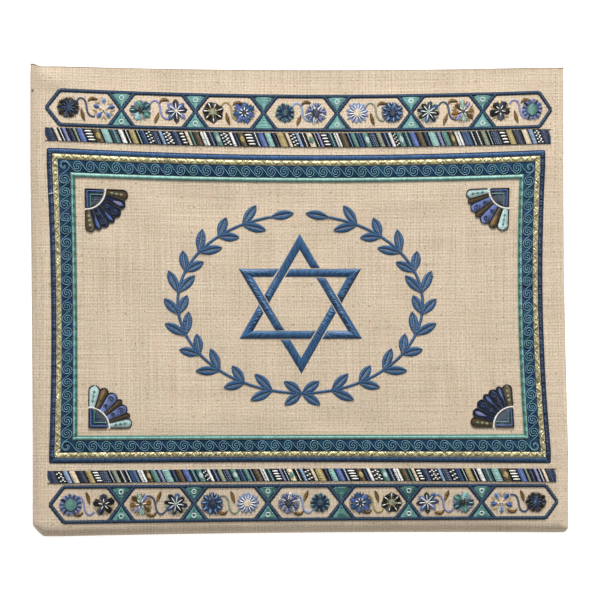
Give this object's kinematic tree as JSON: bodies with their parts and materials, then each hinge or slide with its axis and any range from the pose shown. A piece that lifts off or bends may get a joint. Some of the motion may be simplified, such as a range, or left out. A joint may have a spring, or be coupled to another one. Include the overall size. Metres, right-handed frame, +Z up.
{
  "type": "tallit bag",
  "caption": "Flat open-topped linen pouch for a folded prayer shawl, lying on its back, with a raised stitched frame on its front.",
  "frame": {"origin": "on the surface that the bag lies on, under the middle of the box around it", "axes": "+X across the bag, along its mouth; +Y from the bottom seam up to the mouth; +Z up, out of the embroidered face"},
  "size_m": [0.35, 0.3076, 0.0133],
  "materials": {
    "linen": "natural plain-weave linen, matt, with a blue and green stitched frame"
  },
  "bodies": {
    "root": {"front_panel": "linen", "back_panel": "linen"}
  },
  "joints": []
}
